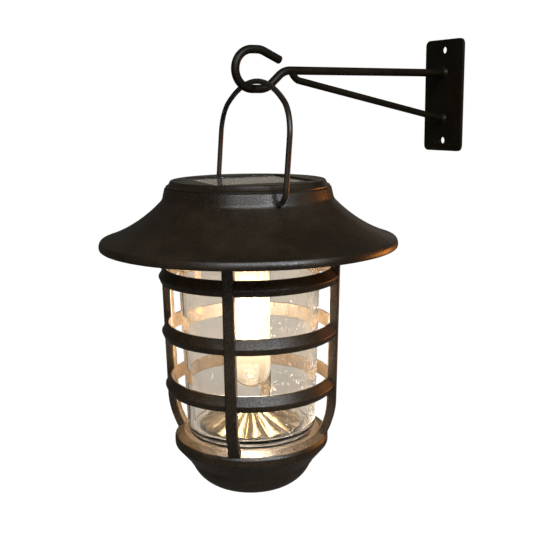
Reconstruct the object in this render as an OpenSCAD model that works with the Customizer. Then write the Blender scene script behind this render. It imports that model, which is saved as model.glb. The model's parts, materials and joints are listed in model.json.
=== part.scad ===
// Hanging solar lantern on a wall bracket: hook arm, wire bail, flared hat with a
// solar cap, filament-style lamp, and a twist-off cage with a glass chimney.
// Frame: origin at the centre of the wall plate's back face, +Y into the wall, +Z up.

/* [Wall bracket] */
// Width of the wall plate
plate_w = 36; // [30:1:60]
// Height of the wall plate
plate_h = 74; // [70:1:120]
// Thickness of the wall plate
plate_t = 2; // [1.5:0.5:4]
// Corner radius of the wall plate
plate_corner = 4; // [2:0.5:8]
// Distance between the two screw holes
screw_pitch = 60; // [50:1:64]
// Diameter of the screw holes
screw_hole_d = 4.6; // [3:0.1:6]
// Distance from the wall to the middle of the hook
reach = 150; // [140:1:200]
// Height of the arm above the middle of the plate
arm_z = 15; // [10:0.5:20]
// Diameter of the arm rod
rod_d = 5; // [4:0.1:6]
// Diameter of the brace rod
brace_d = 4.2; // [4:0.1:5]
// Height of the brace foot, measured from the middle of the plate
brace_foot_z = -15.5; // [-20:0.5:-10]
// Radius of the hook's bends, at the rod's centre
hook_r = 11.4; // [10:0.1:14]
// Straight length at the top of the hook
hook_flat = 3.5; // [2:0.1:6]
// Straight length at the bottom of the hook, from its middle towards the wall
hook_floor = 3.5; // [1:0.1:5]
// Angle at which the arm rises out of the hook
hook_rise_angle = 41; // [35:1:50]
// Angle at which the hook's tip drops
tip_angle = 24; // [15:1:30]
// Length of the hook's straight tip
tip_len = 13; // [8:0.1:14]

/* [Bail] */
// Diameter of the bail wire
wire_d = 3.2; // [2.5:0.1:4]
// Distance from the lantern's axis to each bail leg
leg_r = 60.5; // [60:0.1:63]
// Height of the bail's top wire above the cap
bail_top = 57.5; // [50:0.5:70]
// Rise of the arch above the straight legs
arch_rise = 31.5; // [28:0.5:40]
// Radius of the arch's two shoulders
arch_side_r = 22; // [16:1:24]
// Lean of the bail towards the wall as the lantern hangs
lean = 4.5; // [0:0.5:8]
// Turn of the lantern about its own axis as it hangs
hang_yaw = -10.9; // [-20:0.1:20]

/* [Hat] */
// Radius of the neck at its top
neck_top_r = 50.1; // [49.5:0.1:50.5]
// Radius of the neck where it meets the flare
neck_r = 51.6; // [51:0.1:52]
// Depth of the foot of the neck below the cap
neck_depth = 11.4; // [11:0.1:13]
// Radius of the hollow curve of the flare
flare_r = 86; // [80:1:95]
// Slope of the flare where it leaves the neck
flare_start = 47; // [42:1:50]
// Slope of the flare where it meets the lip
flare_end = 18; // [16:1:22]
// Radius of the rounded lip
lip_r = 2.6; // [2:0.1:3]
// Thickness of the hat's shell
hat_t = 1.6; // [1.2:0.1:2]

/* [Solar cap] */
// Radius of the cap's flat top
cap_top_r = 46.8; // [46:0.1:47]
// Side of the square solar panel
panel_side = 61.4; // [50:0.2:61.4]
// Number of cells in the panel
cell_count = 4; // [2:1:8]
// Turn of the cap and its panel against the bail
panel_turn = 2.4; // [-45:0.1:45]

/* [Lamp] */
// Radius of the bulb
bulb_r = 12.5; // [11:0.1:13]
// Depth of the bulb's tip below the cap
bulb_tip = 129; // [110:1:132]
// Number of light-emitting filaments
filament_count = 4; // [2:1:6]

/* [Cage] */
// Turn of the cage against the bail
cage_turn = -31.9; // [-45:0.1:45]
// Number of cage bars
bar_count = 4; // [3:1:6]
// Width of a cage bar
bar_w = 6.6; // [4:0.1:8]
// Radial thickness of a cage bar
bar_t = 5.4; // [4:0.1:5.6]
// Widest radius of the upper ring
upper_ring_r = 55.2; // [54.8:0.1:55.4]
// Widest radius of the middle ring
middle_ring_r = 54.2; // [53.8:0.1:54.4]
// Widest radius of the lower ring
lower_ring_r = 52.9; // [52.5:0.1:53.1]
// Depth of the upper ring's widest line below the cap
upper_ring_depth = 57; // [50:0.5:60]
// Distance from each ring to the next
ring_pitch = 33.75; // [28:0.25:34]
// Radial thickness of a cage ring
ring_t = 4.6; // [4:0.1:5]

/* [Glass and base] */
// Outer radius of the glass at its top
glass_top_r = 43.8; // [42:0.1:44]
// Outer radius of the glass at its foot
glass_foot_r = 39.9; // [39:0.1:40.2]
// Wall thickness of the glass
glass_t = 3.4; // [2:0.1:3.6]
// Depth of the glass's foot below the cap
glass_foot = 154.1; // [153.5:0.1:154.2]
// Radius of the tray
tray_r = 48; // [47.5:0.1:48.5]
// Depth of the tray's rim below the cap
tray_rim = 157.4; // [157:0.1:157.8]
// Depth of the lantern's foot below the cap
foot_depth = 190.5; // [189:0.5:192]

/* [Hidden] */

$fn = 72;
eps = 0.01;             // overlap that keeps cuts clean
round_steps = 8;        // segments in a rounded stretch of an outline

black = [0.09, 0.08, 0.07];
rubber = [0.05, 0.05, 0.05];
steel = [0.72, 0.72, 0.74];
clear = [0.85, 0.9, 0.92, 0.35];

// bracket
rod_r = rod_d / 2;
wire_r = wire_d / 2;
hook_z = arm_z + 0.5;                       // height of the hook's centre
hook_bottom_z = hook_z - hook_r;
bend_r = 12;                                // bend between the rise and the arm

// hanging pose
pivot_depth = 10;                           // bail pivot below the cap
pivot_h = bail_top + pivot_depth;           // pivot to the bail's top wire
seat_gap = 0.3;                             // play between the bail and the hook
bail_seat = rod_r + wire_r + seat_gap;
axis_x = pivot_h * sin(lean) * sin(hang_yaw);
axis_y = -reach - pivot_h * sin(lean) * cos(hang_yaw);
pivot_z = hook_bottom_z + bail_seat - pivot_h * cos(lean);
cap_z = pivot_z + pivot_depth;

// bail arch of three arcs: two shoulders and a crown
spring_h = bail_top - arch_rise;            // top of the straight legs above the cap
arch_side_x = leg_r - arch_side_r;
crown_drop = (pow(arch_side_x, 2) - pow(arch_rise - arch_side_r, 2)) / (2 * (arch_rise - arch_side_r));
crown_r = arch_rise + crown_drop;
crown_angle = atan2(crown_drop, arch_side_x);
foot_bend_r = 9;                            // bend at the foot of each leg
wire_end_r = 47.6;                          // where each wire end stops
pivot_play = 0.06;                          // radial play of the wire in the neck

// hat
lip_centre = [neck_r + flare_r * (sin(flare_start) - sin(flare_end)) - lip_r * sin(flare_end),
    -neck_depth - flare_r * (cos(flare_end) - cos(flare_start)) - lip_r * cos(flare_end)];
flare_centre = [neck_r + flare_r * sin(flare_start), -neck_depth + flare_r * cos(flare_start)];
shoulder_z = -4.3;                          // top of the neck, under the cap's flange
shoulder_in_r = 47.6;

// cap
flange_r = 49.2;
flange_z = -3.9;
plug_r = 47.2;
recess_side = panel_side + 0.6;
recess_z = -3;
board_t = 1.1;
cell_t = 0.3;
cover_t = 0.6;

// underside plate and what stands on it
plate_top = -29.4;
plate_foot = -31.4;
under_r = 71;
spigot_r = [46, 49.8];
spigot_foot = -39.4;
boss_at = 62;                               // radius of the plate's screw circle
screw_count = 4;
battery_y = 26;
battery_z = -21.5;
battery_size = [7.1, 50];                   // radius and length
holder_in = [57.2, 14.8];
holder_wall = 1.4;
holder_top = -12.5;
board_y = -27;
board_size = [46, 24, 1.6];
board_z = -23.6;                            // underside of the circuit board
post_at = [20, 9];                          // board spacers, from the board's centre
spacer_r = 2;
board_screw_r = 1;
switch_travel = 3;
slot_size = [7.4, 3];
slider_x = -switch_travel / 2;

// lamp
socket_r = 15;
socket_foot = -47;
socket_bore_r = 11.4;
base_r = 11.2;
base_foot = -46;
bulb_neck_r = 10.5;
bulb_wall = 0.8;
filament_span = [-107, -69];
filament_at = 5;

// cage
collar_top = -33;
collar_foot = -40.5;
collar_r = [50.1, 57.5];
bar_top_r = 55.8;
bar_bend_r = 53.5;                          // outer radius where the bars start to curve in
bar_bend_z = -134;
bar_curve_r = 48;
glass_top = -33.2;
platform_z = -155.1;                        // top of the tray's middle
bar_foot = 158.6;                           // depth to which the bars are drawn, inside the tray
bowl_centre = [17, -168.3];
bowl_r = foot_depth + bowl_centre[1];
bowl_t = 2;
bowl_top = -174.8;

// ---------------------------------------------------------------- helpers

// points of an arc about c, from angle a0 to a1
function arc(c, r, a0, a1, n = round_steps) =
    [for (i = [0:n]) let (a = a0 + (a1 - a0) * i / n) [c[0] + r * cos(a), c[1] + r * sin(a)]];

// points of an arc in the XZ plane about c, for a tube's path
function arc_xz(c, r, a0, a1, n = round_steps) = [for (p = arc(c, r, a0, a1, n)) [p[0], 0, p[1]]];

// the path with its corners cut, for soft bends
function eased(path, times) = times == 0 ? path : eased(concat([path[0]],
    [for (i = [1:len(path) - 2], k = [0, 1])
        path[i] + (path[i + 2 * k - 1] - path[i]) * 0.25],
    [path[len(path) - 1]]), times - 1);

// a round tube swept along a path, which never runs along the vector across
module tube(path, d, sides, across) {
    last = len(path) - 1;
    rings = [for (i = [0:last])
        let (run = path[min(i + 1, last)] - path[max(i - 1, 0)], t = run / norm(run),
            side = cross(t, across) / norm(cross(t, across)), up = cross(side, t))
        for (k = [0:sides - 1]) path[i] + d / 2 * (cos(360 * k / sides) * side + sin(360 * k / sides) * up)];
    walls = [for (i = [0:last - 1], k = [0:sides - 1], half = [0, 1])
        let (a = i * sides + k, b = i * sides + (k + 1) % sides)
        half == 0 ? [a, b, b + sides] : [a, b + sides, a + sides]];
    ends = [[for (k = [0:sides - 1]) sides - 1 - k], [for (k = [0:sides - 1]) last * sides + k]];
    polyhedron(points = rings, faces = concat(walls, ends), convexity = 4);
}

// a thin lead along points, with soft corners
module lead(points, d) {
    tube(eased(points, 2), d, 8, [1, 0, 0]);
}

// places what follows at the hanging lantern: z = 0 is the cap's top, x runs along the bail
module hung(turn = 0) {
    translate([axis_x, axis_y, cap_z]) rotate([0, 0, hang_yaw + turn]) children();
}

// copies around the lantern's axis
module around(count, first = 0) {
    for (i = [0:count - 1]) rotate([0, 0, first + i * 360 / count]) children();
}

module disc(r_in, r_out, z0, z1) {
    translate([0, 0, z0]) difference() {
        cylinder(r = r_out, h = z1 - z0);
        if (r_in > 0) translate([0, 0, -1]) cylinder(r = r_in, h = z1 - z0 + 2);
    }
}

module block(centre, size, z0, z1) {
    translate([centre[0] - size[0] / 2, centre[1] - size[1] / 2, z0]) cube([size[0], size[1], z1 - z0]);
}

// the bracket's rod plane: x = distance from the hook's centre to the wall, z = height
module in_arm_plane() {
    translate([0, -reach, 0]) rotate([0, 0, 90]) children();
}

// ---------------------------------------------------------------- wall bracket

module wall_plate() {
    color(black) rotate([90, 0, 0]) linear_extrude(plate_t) difference() {
        union() {
            square([plate_w - 2 * plate_corner, plate_h], center = true);
            square([plate_w, plate_h - 2 * plate_corner], center = true);
            for (sx = [-1, 1], sz = [-1, 1])
                translate([sx * (plate_w / 2 - plate_corner), sz * (plate_h / 2 - plate_corner)])
                    circle(r = plate_corner);
        }
        for (sz = [-1, 1]) translate([0, sz * screw_pitch / 2]) circle(d = screw_hole_d);
    }
}

module hook_arm() {
    half = hook_flat / 2;
    rise_from = [hook_floor + hook_r * sin(hook_rise_angle), hook_z - hook_r * cos(hook_rise_angle)];
    rise_h = arm_z - bend_r * (1 - cos(hook_rise_angle)) - rise_from[1];
    bend_x = rise_from[0] + rise_h / tan(hook_rise_angle) + bend_r * sin(hook_rise_angle);
    bend_centre = [bend_x, arm_z - bend_r];
    over = arc_xz([half, hook_z], hook_r, 90 - tip_angle, 90, 3);
    path = concat(
        [over[0] + tip_len * [cos(tip_angle), 0, -sin(tip_angle)]], over,
        arc_xz([-half, hook_z], hook_r, 90, 270, 2 * round_steps),
        arc_xz([hook_floor, hook_z], hook_r, 270, 270 + hook_rise_angle, 4),
        arc_xz(bend_centre, bend_r, 90 + hook_rise_angle, 90, 5),
        [[reach - plate_t, 0, arm_z]]);
    color(black) in_arm_plane() tube(path, rod_d, 16, [0, 1, 0]);
}

// points of the brace: top end inside the arm, elbow, foot at the plate
brace_top = [25.8, arm_z - 1.2];
brace_elbow = [28.6, arm_z - 5.4];
brace_foot = [reach - plate_t, brace_foot_z];

module brace_rod() {
    past = brace_foot + (brace_foot - brace_elbow) / 20;
    after_elbow = brace_elbow + (brace_foot - brace_elbow) / 50;
    bend = [for (p = [brace_top, brace_elbow, after_elbow]) [p[0], 0, p[1]]];
    path = concat(eased(bend, 2), [[past[0], 0, past[1]]]);
    color(black) difference() {
        in_arm_plane() tube(path, brace_d, 16, [0, 1, 0]);
        translate([-10, -plate_t, brace_foot_z - 15]) cube([20, 20, 30]);
    }
}

// fillets of weld metal around both rods at the plate
module weld_beads() {
    bead = 1.6;
    slope = atan2(brace_foot[1] - brace_elbow[1], brace_foot[0] - brace_elbow[0]);
    color(black) {
        translate([0, -plate_t, arm_z]) rotate([90, 0, 0]) difference() {
            cylinder(r1 = rod_r + bead, r2 = rod_r + 0.1, h = bead);
            translate([0, 0, -1]) cylinder(d = rod_d, h = bead + 2);
        }
        difference() {
            translate([0, -plate_t, brace_foot_z]) rotate([90, 0, 0])
                cylinder(r1 = brace_d / 2 + bead + 0.2, r2 = brace_d / 2 + 0.4, h = bead);
            translate([0, -plate_t, brace_foot_z]) rotate([slope, 0, 0]) rotate([90, 0, 0])
                translate([0, 0, -10]) cylinder(d = brace_d, h = 20);
        }
    }
}

// ---------------------------------------------------------------- bail

module bail_handle() {
    foot_x = leg_r - foot_bend_r;
    half = concat(
        [[wire_end_r, 0, -pivot_depth]],
        arc_xz([foot_x, foot_bend_r - pivot_depth], foot_bend_r, 270, 360, 5),
        arc_xz([arch_side_x, spring_h], arch_side_r, 0, crown_angle, 6),
        [for (i = [1:4]) arc_xz([0, spring_h - crown_drop], crown_r, crown_angle, 90, 4)[i]]);
    path = concat(half, [for (i = [1:len(half) - 1]) let (p = half[len(half) - 1 - i]) [-p[0], 0, p[2]]]);
    color(black) translate([axis_x, axis_y, pivot_z]) rotate([0, 0, hang_yaw]) rotate([-lean, 0, 0])
        translate([0, 0, pivot_depth]) tube(path, wire_d, 14, [0, 1, 0]);
}

// ---------------------------------------------------------------- hat

// outline of the flare, radius offset by t outwards from its hollow side
function flare(t, a0 = flare_start, a1 = flare_end) =
    arc(flare_centre, flare_r + t, -90 - a0, -90 - a1, 2 * round_steps);

hat_outline = concat(
    [[shoulder_in_r, shoulder_z], [neck_top_r - 0.7, shoulder_z], [neck_top_r, shoulder_z - 0.7]],
    flare(0),
    arc(lip_centre, lip_r, 90 - flare_end, -90),
    [[lip_centre[0] - 1.2, lip_centre[1] - lip_r + 0.7]],
    [for (i = [0:2 * round_steps]) flare(hat_t)[2 * round_steps - i]],
    [[neck_top_r - 1.8, shoulder_z - 1.8], [shoulder_in_r, shoulder_z - 1.8]]
);

// room under the hat's mid-surface, which the screw bosses fill
under_hat = concat([[neck_r - 2, -40]], [[neck_r - 2, -14]], flare(hat_t / 2), [[lip_centre[0] - 3, -40]]);

module canopy() {
    color(black) hung() difference() {
        union() {
            rotate_extrude($fn = 144) polygon(hat_outline);
            intersection() {
                around(screw_count, 45) translate([boss_at, 0, plate_top]) cylinder(r = 3.6, h = 16);
                rotate_extrude($fn = 144) polygon(under_hat);
            }
        }
        for (side = [-1, 1]) translate([side * neck_r, 0, -pivot_depth]) rotate([0, 90, 0])
            cylinder(r = wire_r + pivot_play, h = 16, center = true);
        around(screw_count, 45) translate([boss_at, 0, plate_top - 1]) cylinder(r = 1.2, h = 6);
    }
}

module top_cap() {
    outline = [
        [0, 0], [cap_top_r - 0.5, 0], [cap_top_r, -0.25], [flange_r, flange_z + 0.9], [flange_r, flange_z],
        [plug_r, flange_z], [plug_r, -8], [plug_r - 1.8, -8], [plug_r - 1.8, -5.4], [0, -5.4]
    ];
    color(black) hung(panel_turn) difference() {
        rotate_extrude($fn = 144) polygon(outline);
        block([0, 0], [recess_side, recess_side], recess_z, 1);
        translate([0, 0, -7]) cylinder(r = 2.5, h = 6);
    }
}

module cap_seal() {
    color(rubber) hung() disc(shoulder_in_r + 0.1, flange_r - 0.3, shoulder_z, flange_z);
}

module panel_board() {
    color([0.1, 0.12, 0.1]) hung(panel_turn) difference() {
        block([0, 0], [panel_side, panel_side], recess_z, recess_z + board_t);
        for (side = [-1, 1]) translate([side * 1.3, 0, recess_z - 1]) cylinder(r = 0.6, h = 4);
    }
}

cell_gap = 0.8;
cell_margin = 2.2;
cell_w = (panel_side - 2 * cell_margin - (cell_count - 1) * cell_gap) / cell_count;

function cell_x(i) = -panel_side / 2 + cell_margin + cell_w / 2 + i * (cell_w + cell_gap);

module solar_cells() {
    z = recess_z + board_t;
    color([0.05, 0.08, 0.2]) hung(panel_turn) for (i = [0:cell_count - 1])
        block([cell_x(i), 0], [cell_w, panel_side - 2 * cell_margin], z, z + cell_t);
}

// bright ribbons that collect the current, two on each cell
module cell_ribbons() {
    z = recess_z + board_t + cell_t;
    color([0.8, 0.8, 0.8]) hung(panel_turn) for (i = [0:cell_count - 1], side = [-1, 1])
        block([cell_x(i) + side * cell_w / 4, 0], [1, panel_side - 2 * cell_margin - 1], z, z + 0.1);
}

module panel_cover() {
    z = recess_z + board_t + cell_t + 0.1;
    color(clear) hung(panel_turn) block([0, 0], [panel_side, panel_side], z, z + cover_t);
}

// ---------------------------------------------------------------- plate under the hat

module underside_plate() {
    color(black) hung() difference() {
        union() {
            disc(0, under_r, plate_foot, plate_top);
            disc(spigot_r[0], spigot_r[1], spigot_foot, plate_foot + eps);
        }
        translate([0, 0, plate_foot - 1]) cylinder(r = socket_r + 0.2, h = 4);
        block([0, battery_y], [holder_in[0], holder_in[1]], plate_foot - 1, plate_top + 1);
        block([0, board_y], slot_size, plate_foot - 1, plate_top + 1);
        around(screw_count, 45) translate([boss_at, 0, plate_foot - 1]) cylinder(r = 1.8, h = 4);
    }
}

// pan-head screws: four hold the plate to the hat
module plate_screws() {
    color(steel) hung() around(screw_count, 45) translate([boss_at, 0, 0]) difference() {
        union() {
            disc(0, 3.2, plate_foot - 1.8, plate_foot);
            disc(0, 1.2, plate_foot - eps, plate_top + 4.5);
        }
        block([0, 0], [3.6, 0.8], plate_foot - 2.8, plate_foot - 1);
        block([0, 0], [0.8, 3.6], plate_foot - 2.8, plate_foot - 1);
    }
}

module battery_holder() {
    color(black) hung() difference() {
        block([0, battery_y], holder_in + 2 * [holder_wall, holder_wall], plate_top, holder_top);
        block([0, battery_y], holder_in, plate_top - 1, holder_top - holder_wall);
        for (side = [-1, 1]) translate([side * 22, battery_y, holder_top - 4]) cylinder(r = 1, h = 6);
    }
}

module battery() {
    color([0.2, 0.45, 0.3]) hung() translate([0.9, battery_y, battery_z]) rotate([0, 90, 0]) {
        translate([0, 0, -battery_size[1] / 2]) cylinder(r = battery_size[0], h = battery_size[1] - 1.5);
        translate([0, 0, battery_size[1] / 2 - 1.6]) cylinder(r = 2.7, h = 1.6);
    }
}

// a flat contact at the cap end and a coiled one at the other
module battery_contacts() {
    t = 0.4;
    turns = 5;
    from = -holder_in[0] / 2 + t;
    gap = 0.9 - battery_size[1] / 2 - from;
    color(steel) hung() {
        translate([holder_in[0] / 2 - t, battery_y - 4, battery_z - 5]) cube([t, 8, 10]);
        translate([0.9 + battery_size[1] / 2, battery_y - 2, battery_z - 2])
            cube([holder_in[0] / 2 - t - 0.9 - battery_size[1] / 2, 4, 4]);
        translate([from - t, battery_y - 4, battery_z - 5]) cube([t, 8, 10]);
        for (i = [0:turns - 1])
            translate([from + gap * (i + 0.5) / turns, battery_y, battery_z]) rotate([0, 90, 0])
                rotate_extrude() translate([4.6 - 0.4 * i, 0]) circle(r = gap / turns / 2);
    }
}

module battery_cover() {
    play = 0.3;
    color(black) hung() difference() {
        block([0, battery_y], holder_in - 2 * [play, play], plate_foot, plate_top - 0.3);
        for (side = [-1, 1]) block([side * 24, battery_y], [1.6, 8], plate_foot - 1, plate_foot + 0.7);
    }
}

module circuit_board() {
    color([0.1, 0.35, 0.15]) hung() difference() {
        block([0, board_y], board_size, board_z, board_z + board_size[2]);
        for (sx = [-1, 1], sy = [-1, 1])
            translate([sx * post_at[0], board_y + sy * post_at[1], board_z - 1]) cylinder(r = 1.1, h = 4);
    }
}

// four bored spacers that hold the circuit board off the plate
module board_spacers() {
    color(black) hung() for (sx = [-1, 1], sy = [-1, 1])
        translate([sx * post_at[0], board_y + sy * post_at[1], plate_top]) difference() {
            cylinder(r = spacer_r, h = board_z - plate_top);
            translate([0, 0, 1]) cylinder(r = board_screw_r, h = board_z - plate_top);
        }
}

module board_parts() {
    z = board_z + board_size[2];
    color([0.15, 0.15, 0.17]) hung() {
        block([-4, board_y - 4], [6, 5], z, z + 1.5);
        block([6, board_y - 5], [6, 6], z, z + 3);
        translate([12, board_y + 4, z]) cylinder(r = 2.6, h = 7);
        block([-11, board_y + 6], [6, 4], z, z + 4.5);
        block([3, board_y + 8], [6, 4], z, z + 4.5);
    }
}

module board_screws() {
    z = board_z + board_size[2];
    color(steel) hung() for (sx = [-1, 1], sy = [-1, 1])
        translate([sx * post_at[0], board_y + sy * post_at[1], 0]) {
            disc(0, 1.9, z, z + 1.3);
            disc(0, board_screw_r, plate_top + 1.5, z + eps);
        }
}

module switch_body() {
    color([0.2, 0.2, 0.22]) hung() difference() {
        block([0, board_y], [11, 6], plate_top, board_z);
        block([0, board_y], slot_size, plate_top - 1, plate_top + 2.4);
    }
}

module switch_slider() {
    color([0.75, 0.12, 0.08]) hung() translate([slider_x, board_y, 0]) {
        block([0, 0], [2.4, 2.4], plate_foot - 0.3 - eps, plate_top + 2);
        difference() {
            block([0, 0], [4.4, 3.6], plate_foot - 2.2, plate_foot - 0.3);
            for (i = [-1, 0, 1]) block([i * 1.2, 0], [0.4, 5], plate_foot - 3, plate_foot - 1.8);
        }
    }
}

// red and black pairs: panel to board, and board to lamp
module panel_leads() {
    z = board_z + board_size[2] + 4.5;
    color([0.6, 0.08, 0.06]) hung() for (side = [-1, 1])
        lead([[side * 1.3, 0, recess_z], [side * 1.3, 0, -8.6], [-11 + side * 1.3, -14, -10],
            [-11 + side * 1.3, board_y + 6, -13], [-11 + side * 1.3, board_y + 6, z]], 0.9);
}

module lamp_leads() {
    z = board_z + board_size[2] + 4.5;
    color([0.06, 0.06, 0.06]) hung() for (side = [-1, 1])
        lead([[side * 4, 0, plate_foot + 0.6], [side * 4, 0, -20], [3 + side * 1.3, -10, -14],
            [3 + side * 1.3, board_y + 8, -14], [3 + side * 1.3, board_y + 8, z]], 0.9);
}

// ---------------------------------------------------------------- lamp

module lamp_socket() {
    flange = 16.8;
    outline = [[0, plate_top + 2], [flange, plate_top + 2], [flange, plate_top], [socket_r, plate_top],
        [socket_r, socket_foot + 1], [socket_r - 1, socket_foot], [socket_bore_r, socket_foot],
        [socket_bore_r, plate_foot], [0, plate_foot]];
    color([0.12, 0.11, 0.1]) hung() difference() {
        rotate_extrude() polygon(outline);
        for (side = [-1, 1]) translate([side * 4, 0, plate_foot - 1]) cylinder(r = 0.7, h = 6);
    }
}

// screw shell of the bulb, with rounded turns, and the contact at its top
module bulb_base() {
    turns = 4;
    pitch = 3;
    one_turn = [[base_r, 0.6], [base_r - 1, 1.5], [base_r - 1, 2.1], [base_r, pitch]];
    turn_points = [for (i = [0:turns - 1], p = one_turn) [p[0], base_foot + i * pitch + p[1]]];
    outline = concat([[0, base_foot], [base_r, base_foot]], turn_points,
        [[4, base_foot + turns * pitch + 1.2], [2.6, plate_foot], [0, plate_foot]]);
    color(steel) hung() rotate_extrude() polygon(outline);
}

// outline of the bulb, drawn in by t
function bulb_outline(t) = concat(
    [[bulb_neck_r - t, base_foot], [bulb_neck_r - t, base_foot - 2]],
    [[bulb_r - t, base_foot - 7]],
    arc([0, bulb_r - bulb_tip], bulb_r - t, 0, -90, 2 * round_steps));

module bulb_envelope() {
    color(clear) hung() difference() {
        rotate_extrude() polygon(concat([[0, base_foot]], bulb_outline(0)));
        translate([0, 0, eps]) rotate_extrude() polygon(concat([[0, base_foot]], bulb_outline(bulb_wall)));
    }
}

module bulb_stem() {
    outline = [[0, base_foot], [6.5, base_foot], [3.2, -50], [2.2, -58], [2.8, -62], [0, -63.5]];
    color(clear) hung() rotate_extrude() polygon(outline);
}

// wires from the stem to both ends of the filaments
module filament_frame() {
    wire = 0.5;
    color(steel) hung() {
        for (z = [filament_span[0] - 1.2, filament_span[1] + 1.2]) around(filament_count, 20) {
            translate([0, 0, z]) rotate([0, 90, 0]) cylinder(d = wire, h = filament_at);
            translate([filament_at, 0, z]) sphere(d = wire);
        }
        translate([0, 0, filament_span[0] - 1.2]) cylinder(d = wire, h = -63.5 - filament_span[0] + 1.2);
        around(filament_count, 20) {
            translate([filament_at, 0, filament_span[1]]) cylinder(d = wire, h = 1.2);
            translate([filament_at, 0, filament_span[0] - 1.2]) cylinder(d = wire, h = 1.2);
        }
    }
}

module led_filaments() {
    length = filament_span[1] - filament_span[0];
    color([1, 0.85, 0.5]) hung() around(filament_count, 20)
        translate([filament_at, 0, filament_span[0]]) cylinder(r = 0.9, h = length);
}

// ---------------------------------------------------------------- cage

module cage_seal() {
    color(rubber) hung() disc(collar_r[0], 56, collar_top + 0.1, plate_foot - 0.1);
}

module cage_collar() {
    color(black) hung(cage_turn) rotate_extrude($fn = 144) polygon([[collar_r[0], collar_top],
        [collar_r[1] - 1, collar_top], [collar_r[1], collar_top - 1], [collar_r[1], collar_foot + 0.8],
        [collar_r[1] - 0.8, collar_foot], [collar_r[0], collar_foot]]);
}

// all the bars as one band of revolution, t thick
bar_centre = [bar_bend_r - bar_curve_r, bar_bend_z];
bar_end = -asin((bar_foot + bar_bend_z) / bar_curve_r);
bar_inner_end = -asin((bar_foot + bar_bend_z) / (bar_curve_r - bar_t));
bar_band = concat(
    [[bar_top_r - bar_t, collar_foot], [bar_top_r, collar_foot]],
    arc(bar_centre, bar_curve_r, 0, bar_end),
    arc(bar_centre, bar_curve_r - bar_t, bar_inner_end, 0));

// straight-sided room of the bars, w wide
module bar_room(w) {
    around(bar_count) translate([30, -w / 2, -170]) cube([40, w, 150]);
}

module cage_bars() {
    color(black) hung(cage_turn) difference() {
        intersection() {
            rotate_extrude($fn = 144) polygon(bar_band);
            bar_room(bar_w);
        }
        rotate_extrude($fn = 144) polygon(tray_outline);
    }
}

// a ring with a bevelled face, widest at r and z, notched where the bars cross it
module cage_ring(r, z) {
    color(black) hung(cage_turn) difference() {
        rotate_extrude($fn = 144) polygon([
            [r - ring_t, z + 5], [r - 3.7, z + 5.1], [r - 3.3, z + 4.7], [r - 0.2, z + 0.4], [r, z],
            [r - 0.2, z - 0.5], [r - 1.3, z - 3.6], [r - 1.7, z - 4], [r - ring_t, z - 4.1]
        ]);
        intersection() {
            rotate_extrude($fn = 144) polygon(bar_band);
            bar_room(bar_w);
        }
    }
}

module upper_ring() { cage_ring(upper_ring_r, -upper_ring_depth); }

module middle_ring() { cage_ring(middle_ring_r, -upper_ring_depth - ring_pitch); }

module lower_ring() { cage_ring(lower_ring_r, -upper_ring_depth - 2 * ring_pitch); }

// shallow tray: platform for the glass, a slope to the rim, and a cone below
tray_outline = [
    [0, platform_z], [42, platform_z], [tray_r - 1, -tray_rim], [tray_r, -tray_rim - 1.6], [tray_r, -162.6],
    [tray_r - 0.6, -163.9], [39.3, -173.6], [38.9, bowl_top], [36.8, bowl_top], [37.2, -173.2], [44.6, -164],
    [44.6, -161.8], [38.8, -160.6], [38.4, -157.4], [4, -157.4], [4, -170], [0, -170]
];

module cage_tray() {
    color(black) hung(cage_turn) difference() {
        rotate_extrude($fn = 144) polygon(tray_outline);
        translate([0, 0, -171]) cylinder(r = 1.2, h = 10);
    }
}

module base_bowl() {
    boss_r = 5;
    boss_top = -foot_depth + 18.5;
    outline = concat(
        [[34.8, bowl_top + 1.2], [36.4, bowl_top + 1.2], [36.6, bowl_top]],
        arc(bowl_centre, bowl_r, -17, -90),
        [[0, -foot_depth], [0, boss_top], [boss_r, boss_top], [boss_r, -foot_depth + bowl_t]],
        arc(bowl_centre, bowl_r - bowl_t, -90, -24));
    color(black) hung(cage_turn) difference() {
        rotate_extrude($fn = 144) polygon(outline);
        translate([0, 0, -foot_depth - 1]) cylinder(r = 1.6, h = 22);
        translate([0, 0, -foot_depth - 1]) cylinder(r = 3.6, h = 3.4);
    }
}

module base_screw() {
    color(steel) hung(cage_turn) difference() {
        union() {
            disc(0, 3.2, -foot_depth + 0.6, -foot_depth + 2.4);
            disc(0, 1.2, -foot_depth + 2.4 - eps, -162);
        }
        block([0, 0], [4, 0.8], -foot_depth, -foot_depth + 1.4);
        block([0, 0], [0.8, 4], -foot_depth, -foot_depth + 1.4);
    }
}

// ---------------------------------------------------------------- glass and reflector

module glass_cylinder() {
    inner_top = glass_top_r - glass_t;
    inner_foot = glass_foot_r - glass_t;
    floor_z = -glass_foot + 2.8;
    outline = concat([[0, -glass_foot]], arc([glass_foot_r - 3, -glass_foot + 3], 3, -90, 0),
        [[glass_top_r, glass_top - 0.4], [glass_top_r - 0.4, glass_top]],
        [[inner_top + 0.4, glass_top], [inner_top, glass_top - 0.4]],
        arc([inner_foot - 1.6, floor_z + 1.6], 1.6, 0, -90, 4), [[0, floor_z]]);
    color(clear) hung() rotate_extrude($fn = 144) polygon(outline);
}

// soft rim on the glass's top edge
module glass_gasket() {
    color(rubber) hung()
        disc(glass_top_r - glass_t + 0.1, glass_top_r - 0.1, glass_top, plate_foot - 0.2);
}

module glass_pad() {
    color(rubber) hung() disc(28, 38, platform_z, -glass_foot);
}

// shiny cone that throws the light outwards
module reflector() {
    foot = -glass_foot + 2.9;
    outline = [[0, -139], [3, -139.3], [31, foot + 0.8], [31, foot], [28.6, foot], [2.6, -140.6],
        [0, -140.2]];
    color([0.85, 0.85, 0.86]) hung() rotate_extrude() polygon(outline);
}

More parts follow.
